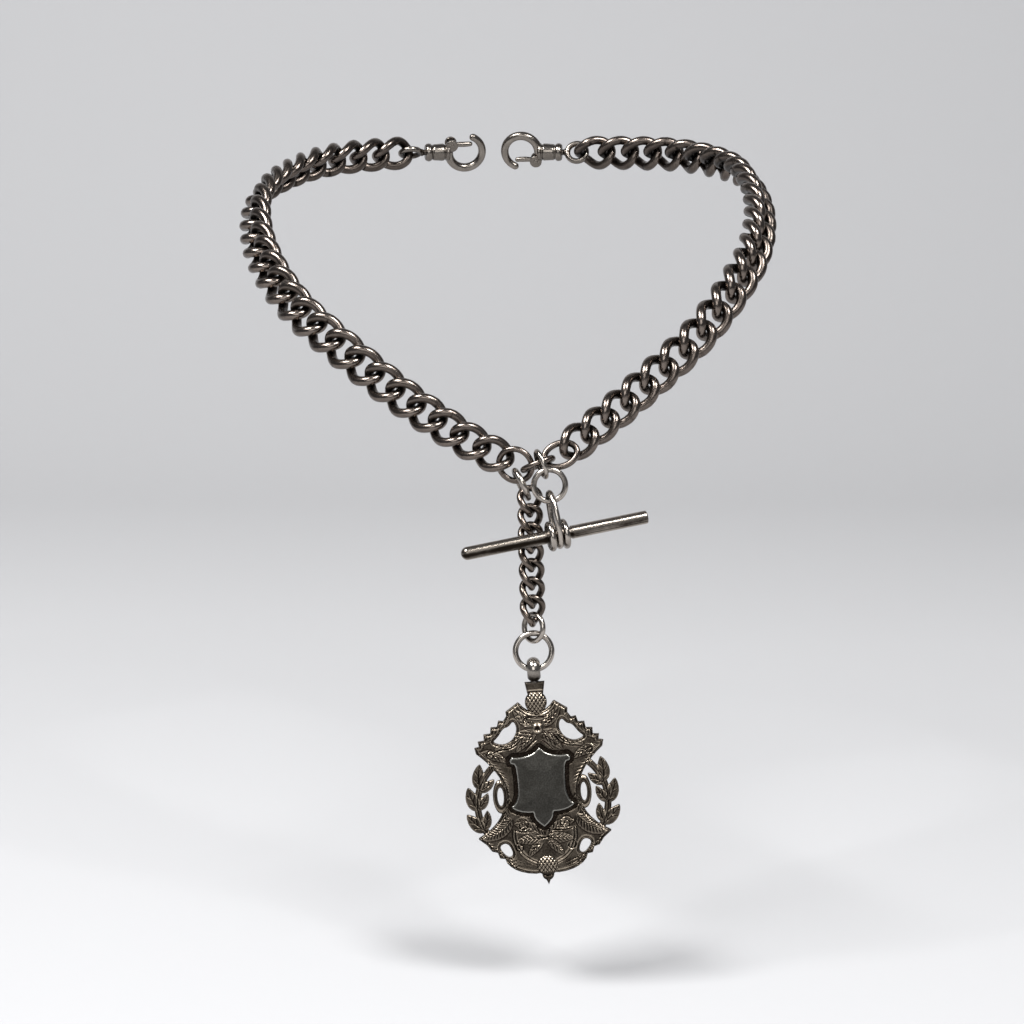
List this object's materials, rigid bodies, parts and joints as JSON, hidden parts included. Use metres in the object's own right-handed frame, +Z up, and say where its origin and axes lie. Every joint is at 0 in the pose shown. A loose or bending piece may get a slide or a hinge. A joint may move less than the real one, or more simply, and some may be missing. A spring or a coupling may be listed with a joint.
{
  "type": "pocket watch chain",
  "caption": "Double Albert pocket watch chain worn as a necklace: graduated curb arms, T-bar, short drop with a pierced shield fob, and swivel clasps.",
  "frame": {"origin": "centre of the loop that the arms make round the neck, at the neck mount", "axes": "+Z up, the wearer faces -Y, +X to the wearer's left"},
  "size_m": [0.1207, 0.1427, 0.1442],
  "materials": {
    "curb_silver": "tarnished silver, worn bright on the high sides",
    "drop_silver": "tarnished silver, worn bright on the high sides",
    "ring_silver": "worn silver wire",
    "bar_silver": "worn silver with fine scratches",
    "engraved_silver": "engraved silver, dark brown tarnish in the cuts",
    "shield_silver": "plain silver with an even dark tarnish",
    "clasp_silver": "worn silver",
    "spring_steel": "plain spring steel"
  },
  "bodies": {
    "left_end": {"left_end_link": "curb_silver"},
    "centre": {"centre_link": "curb_silver"},
    "right_end": {"right_end_link": "curb_silver"},
    "left_pair_01": {"left_links_01": "curb_silver"},
    "left_pair_02": {"left_links_02": "curb_silver"},
    "left_pair_03": {"left_links_03": "curb_silver"},
    "left_pair_04": {"left_links_04": "curb_silver"},
    "left_pair_05": {"left_links_05": "curb_silver"},
    "left_pair_06": {"left_links_06": "curb_silver"},
    "left_pair_07": {"left_links_07": "curb_silver"},
    "left_pair_08": {"left_links_08": "curb_silver"},
    "left_pair_09": {"left_links_09": "curb_silver"},
    "left_pair_10": {"left_links_10": "curb_silver"},
    "left_pair_11": {"left_links_11": "curb_silver"},
    "left_pair_12": {"left_links_12": "curb_silver"},
    "left_pair_13": {"left_links_13": "curb_silver"},
    "left_pair_14": {"left_links_14": "curb_silver"},
    "left_eye": {"left_swivel_eye": "clasp_silver"},
    "left_clasp": {"left_swivel_body": "clasp_silver", "left_gate_pin": "clasp_silver", "left_gate_spring": "spring_steel"},
    "left_gate": {"left_swivel_gate": "clasp_silver"},
    "right_pair_01": {"right_links_01": "curb_silver"},
    "right_pair_02": {"right_links_02": "curb_silver"},
    "right_pair_03": {"right_links_03": "curb_silver"},
    "right_pair_04": {"right_links_04": "curb_silver"},
    "right_pair_05": {"right_links_05": "curb_silver"},
    "right_pair_06": {"right_links_06": "curb_silver"},
    "right_pair_07": {"right_links_07": "curb_silver"},
    "right_pair_08": {"right_links_08": "curb_silver"},
    "right_pair_09": {"right_links_09": "curb_silver"},
    "right_pair_10": {"right_links_10": "curb_silver"},
    "right_pair_11": {"right_links_11": "curb_silver"},
    "right_pair_12": {"right_links_12": "curb_silver"},
    "right_pair_13": {"right_links_13": "curb_silver"},
    "right_pair_14": {"right_links_14": "curb_silver"},
    "right_eye": {"right_swivel_eye": "clasp_silver"},
    "right_clasp": {"right_swivel_body": "clasp_silver", "right_gate_pin": "clasp_silver", "right_gate_spring": "spring_steel"},
    "right_gate": {"right_swivel_gate": "clasp_silver"},
    "oval_ring": {"bar_oval_ring": "ring_silver"},
    "round_ring": {"bar_round_ring": "ring_silver"},
    "stirrup": {"bar_stirrup": "ring_silver"},
    "bar": {"t_bar": "bar_silver", "bar_collars": "bar_silver"},
    "drop_ring": {"drop_ring": "ring_silver"},
    "drop_1": {"drop_link_1": "drop_silver"},
    "drop_2": {"drop_link_2": "drop_silver"},
    "drop_3": {"drop_link_3": "drop_silver"},
    "drop_4": {"drop_link_4": "drop_silver"},
    "drop_5": {"drop_link_5": "drop_silver"},
    "drop_6": {"drop_link_6": "drop_silver"},
    "drop_7": {"drop_link_7": "drop_silver"},
    "drop_end": {"drop_end_ring": "ring_silver"},
    "jump_ring": {"fob_jump_ring": "ring_silver"},
    "fob": {"fob_bail": "ring_silver", "fob_frame": "engraved_silver", "fob_shield": "shield_silver"}
  },
  "joints": [
    {"name": "centre_swing", "type": "hinge", "parent": "left_end", "child": "centre", "pos_m": [0.00506, -0.06109, -0.02657], "axis": [-1, 0, 0], "range_deg": [0, 8]},
    {"name": "right_end_swing", "type": "hinge", "parent": "centre", "child": "right_end", "pos_m": [0.00853, -0.05903, -0.02568], "axis": [0.594, -0.1312, -0.7937], "range_deg": [0, 10]},
    {"name": "left_arm_01", "type": "hinge", "parent": "left_end", "child": "left_pair_01", "pos_m": [0.00016, -0.05852, -0.02392], "axis": [0.4514, 0.227, 0.863], "range_deg": [0, 12]},
    {"name": "left_arm_02", "type": "hinge", "parent": "left_pair_01", "child": "left_pair_02", "pos_m": [-0.01076, -0.05551, -0.02201], "axis": [0.5331, 0.1429, 0.8339], "range_deg": [0, 12]},
    {"name": "left_arm_03", "type": "hinge", "parent": "left_pair_02", "child": "left_pair_03", "pos_m": [-0.01993, -0.05016, -0.01709], "axis": [0.5615, 0.0782, 0.8238], "range_deg": [0, 12]},
    {"name": "left_arm_04", "type": "hinge", "parent": "left_pair_03", "child": "left_pair_04", "pos_m": [-0.02835, -0.04449, -0.01024], "axis": [0.5866, 0.0264, 0.8094], "range_deg": [0, 12]},
    {"name": "left_arm_05", "type": "hinge", "parent": "left_pair_04", "child": "left_pair_05", "pos_m": [-0.03678, -0.03852, -0.0036], "axis": [0.5809, 0.0338, 0.8133], "range_deg": [0, 12]},
    {"name": "left_arm_06", "type": "hinge", "parent": "left_pair_05", "child": "left_pair_06", "pos_m": [-0.04601, -0.02987, 0.00062], "axis": [0.6263, -0.0358, 0.7788], "range_deg": [0, 12]},
    {"name": "left_arm_07", "type": "hinge", "parent": "left_pair_06", "child": "left_pair_07", "pos_m": [-0.05192, -0.01981, 0.00616], "axis": [0.6479, -0.1074, 0.7541], "range_deg": [0, 12]},
    {"name": "left_arm_08", "type": "hinge", "parent": "left_pair_07", "child": "left_pair_08", "pos_m": [-0.0558, -0.00858, 0.01121], "axis": [0.6428, -0.1718, 0.7465], "range_deg": [0, 12]},
    {"name": "left_arm_09", "type": "hinge", "parent": "left_pair_08", "child": "left_pair_09", "pos_m": [-0.05549, 0.00212, 0.01815], "axis": [0.6078, -0.2412, 0.7565], "range_deg": [0, 12]},
    {"name": "left_arm_10", "type": "hinge", "parent": "left_pair_09", "child": "left_pair_10", "pos_m": [-0.0576, 0.01593, 0.01981], "axis": [0.5478, -0.2847, 0.7866], "range_deg": [0, 12]},
    {"name": "left_arm_11", "type": "hinge", "parent": "left_pair_10", "child": "left_pair_11", "pos_m": [-0.0544, 0.0281, 0.02225], "axis": [0.4522, -0.3342, 0.8269], "range_deg": [0, 12]},
    {"name": "left_arm_12", "type": "hinge", "parent": "left_pair_11", "child": "left_pair_12", "pos_m": [-0.04773, 0.0377, 0.02695], "axis": [0.3432, -0.3533, 0.8703], "range_deg": [0, 12]},
    {"name": "left_arm_13", "type": "hinge", "parent": "left_pair_12", "child": "left_pair_13", "pos_m": [-0.04056, 0.04932, 0.02515], "axis": [0.2324, -0.3482, 0.9081], "range_deg": [0, 9]},
    {"name": "left_arm_14", "type": "hinge", "parent": "left_pair_13", "child": "left_pair_14", "pos_m": [-0.03028, 0.05634, 0.02563], "axis": [0.1395, -0.3228, 0.9361], "range_deg": [0, 12]},
    {"name": "left_eye_swing", "type": "hinge", "parent": "left_pair_14", "child": "left_eye", "pos_m": [-0.02477, 0.05869, 0.02711], "axis": [0.0546, -0.293, 0.9545], "range_deg": [0, 12]},
    {"name": "left_swivel_spin", "type": "hinge", "parent": "left_eye", "child": "left_clasp", "pos_m": [-0.02337, 0.05859, 0.02702], "axis": [0.9837, 0.18, -0.001], "continuous": true},
    {"name": "left_gate_swing", "type": "hinge", "parent": "left_clasp", "child": "left_gate", "pos_m": [-0.01347, 0.05978, 0.02897], "axis": [-0.1716, 0.939, 0.2981], "range_deg": [0, 23], "stiffness_Nm_per_rad": 0.002, "springref_deg": -11.46},
    {"name": "right_arm_01", "type": "hinge", "parent": "right_end", "child": "right_pair_01", "pos_m": [0.01222, -0.05905, -0.02194], "axis": [0.591, -0.1074, -0.7995], "range_deg": [0, 12]},
    {"name": "right_arm_02", "type": "hinge", "parent": "right_pair_01", "child": "right_pair_02", "pos_m": [0.02154, -0.05486, -0.01731], "axis": [0.6117, -0.0425, -0.79], "range_deg": [0, 12]},
    {"name": "right_arm_03", "type": "hinge", "parent": "right_pair_02", "child": "right_pair_03", "pos_m": [0.02978, -0.04899, -0.01121], "axis": [0.6154, 0.0011, -0.7882], "range_deg": [0, 12]},
    {"name": "right_arm_04", "type": "hinge", "parent": "right_pair_03", "child": "right_pair_04", "pos_m": [0.03874, -0.04379, -0.00535], "axis": [0.6412, 0.0636, -0.7647], "range_deg": [0, 12]},
    {"name": "right_arm_05", "type": "hinge", "parent": "right_pair_04", "child": "right_pair_05", "pos_m": [0.04592, -0.03667, 0.0023], "axis": [0.6591, 0.1281, -0.7411], "range_deg": [0, 12]},
    {"name": "right_arm_06", "type": "hinge", "parent": "right_pair_05", "child": "right_pair_06", "pos_m": [0.05211, -0.02762, 0.00812], "axis": [0.6539, 0.1359, -0.7442], "range_deg": [0, 12]},
    {"name": "right_arm_07", "type": "hinge", "parent": "right_pair_06", "child": "right_pair_07", "pos_m": [0.05527, -0.01658, 0.01487], "axis": [0.6509, 0.18, -0.7375], "range_deg": [0, 12]},
    {"name": "right_arm_08", "type": "hinge", "parent": "right_pair_07", "child": "right_pair_08", "pos_m": [0.05701, -0.00459, 0.01901], "axis": [0.6293, 0.2258, -0.7436], "range_deg": [0, 12]},
    {"name": "right_arm_09", "type": "hinge", "parent": "right_pair_08", "child": "right_pair_09", "pos_m": [0.0567, 0.00783, 0.02306], "axis": [0.5883, 0.2493, -0.7692], "range_deg": [0, 12]},
    {"name": "right_arm_10", "type": "hinge", "parent": "right_pair_09", "child": "right_pair_10", "pos_m": [0.0553, 0.02041, 0.02561], "axis": [0.5574, 0.1974, -0.8064], "range_deg": [0, 12]},
    {"name": "right_arm_11", "type": "hinge", "parent": "right_pair_10", "child": "right_pair_11", "pos_m": [0.05185, 0.03283, 0.02661], "axis": [0.4323, 0.3041, -0.8489], "range_deg": [0, 12]},
    {"name": "right_arm_12", "type": "hinge", "parent": "right_pair_11", "child": "right_pair_12", "pos_m": [0.04523, 0.04377, 0.02721], "axis": [0.3101, 0.3333, -0.8904], "range_deg": [0, 12]},
    {"name": "right_arm_13", "type": "hinge", "parent": "right_pair_12", "child": "right_pair_13", "pos_m": [0.03537, 0.05213, 0.02764], "axis": [0.2167, 0.3156, -0.9238], "range_deg": [0, 12]},
    {"name": "right_arm_14", "type": "hinge", "parent": "right_pair_13", "child": "right_pair_14", "pos_m": [0.02448, 0.05795, 0.02688], "axis": [0.1242, 0.2977, -0.9465], "range_deg": [0, 12]},
    {"name": "right_eye_swing", "type": "hinge", "parent": "right_pair_14", "child": "right_eye", "pos_m": [0.0185, 0.06017, 0.02676], "axis": [0.0315, 0.2807, -0.9593], "range_deg": [0, 12]},
    {"name": "right_swivel_spin", "type": "hinge", "parent": "right_eye", "child": "right_clasp", "pos_m": [0.01694, 0.05988, 0.02697], "axis": [-0.9932, 0.1162, 0.0013], "continuous": true},
    {"name": "right_gate_swing", "type": "hinge", "parent": "right_clasp", "child": "right_gate", "pos_m": [0.00712, 0.06161, 0.02502], "axis": [0.1118, 0.9527, 0.2825], "range_deg": [0, 23], "stiffness_Nm_per_rad": 0.002, "springref_deg": -11.46},
    {"name": "oval_ring_swing", "type": "hinge", "parent": "centre", "child": "oval_ring", "pos_m": [0.00658, -0.06135, -0.0257], "axis": [-1, 0, 0], "range_deg": [0, 15]},
    {"name": "round_ring_swing", "type": "hinge", "parent": "oval_ring", "child": "round_ring", "pos_m": [0.00807, -0.06402, -0.02767], "axis": [-1, 0, 0], "range_deg": [0, 20]},
    {"name": "stirrup_swing", "type": "hinge", "parent": "round_ring", "child": "stirrup", "pos_m": [0.00874, -0.06381, -0.03287], "axis": [-1, 0, 0], "range_deg": [0, 20]},
    {"name": "bar_spin", "type": "hinge", "parent": "stirrup", "child": "bar", "pos_m": [0.0107, -0.06619, -0.04022], "axis": [0.9654, 0.2103, 0.1543], "continuous": true},
    {"name": "drop_ring_swing", "type": "hinge", "parent": "left_end", "child": "drop_ring", "pos_m": [0.0018, -0.05879, -0.02964], "axis": [0, 0.9781, -0.2079], "range_deg": [0, 10]},
    {"name": "drop_1_swing", "type": "hinge", "parent": "drop_ring", "child": "drop_1", "pos_m": [0.00372, -0.06262, -0.03285], "axis": [0, 0.9781, -0.2079], "range_deg": [0, 8]},
    {"name": "drop_2_swing", "type": "hinge", "parent": "drop_1", "child": "drop_2", "pos_m": [0.00386, -0.06312, -0.0359], "axis": [0, 0.9781, -0.2079], "range_deg": [0, 8]},
    {"name": "drop_3_swing", "type": "hinge", "parent": "drop_2", "child": "drop_3", "pos_m": [0.00396, -0.06391, -0.03961], "axis": [0, 0.9781, -0.2079], "range_deg": [0, 8]},
    {"name": "drop_4_swing", "type": "hinge", "parent": "drop_3", "child": "drop_4", "pos_m": [0.00406, -0.0647, -0.04333], "axis": [-1, 0, 0], "range_deg": [0, 12]},
    {"name": "drop_5_swing", "type": "hinge", "parent": "drop_4", "child": "drop_5", "pos_m": [0.00416, -0.06549, -0.04705], "axis": [-1, 0, 0], "range_deg": [0, 12]},
    {"name": "drop_6_swing", "type": "hinge", "parent": "drop_5", "child": "drop_6", "pos_m": [0.00426, -0.06628, -0.05076], "axis": [-1, 0, 0], "range_deg": [0, 12]},
    {"name": "drop_7_swing", "type": "hinge", "parent": "drop_6", "child": "drop_7", "pos_m": [0.00436, -0.06707, -0.05448], "axis": [-1, 0, 0], "range_deg": [0, 12]},
    {"name": "end_ring_swing", "type": "hinge", "parent": "drop_7", "child": "drop_end", "pos_m": [0.00523, -0.06566, -0.05823], "axis": [-1, 0, 0], "range_deg": [0, 12]},
    {"name": "jump_ring_swing", "type": "hinge", "parent": "drop_end", "child": "jump_ring", "pos_m": [0.00444, -0.06709, -0.06168], "axis": [-1, 0, 0], "range_deg": [0, 15]},
    {"name": "fob_swing", "type": "hinge", "parent": "jump_ring", "child": "fob", "pos_m": [0.00548, -0.06887, -0.06725], "axis": [-1, 0, 0], "range_deg": [0, 15]}
  ]
}
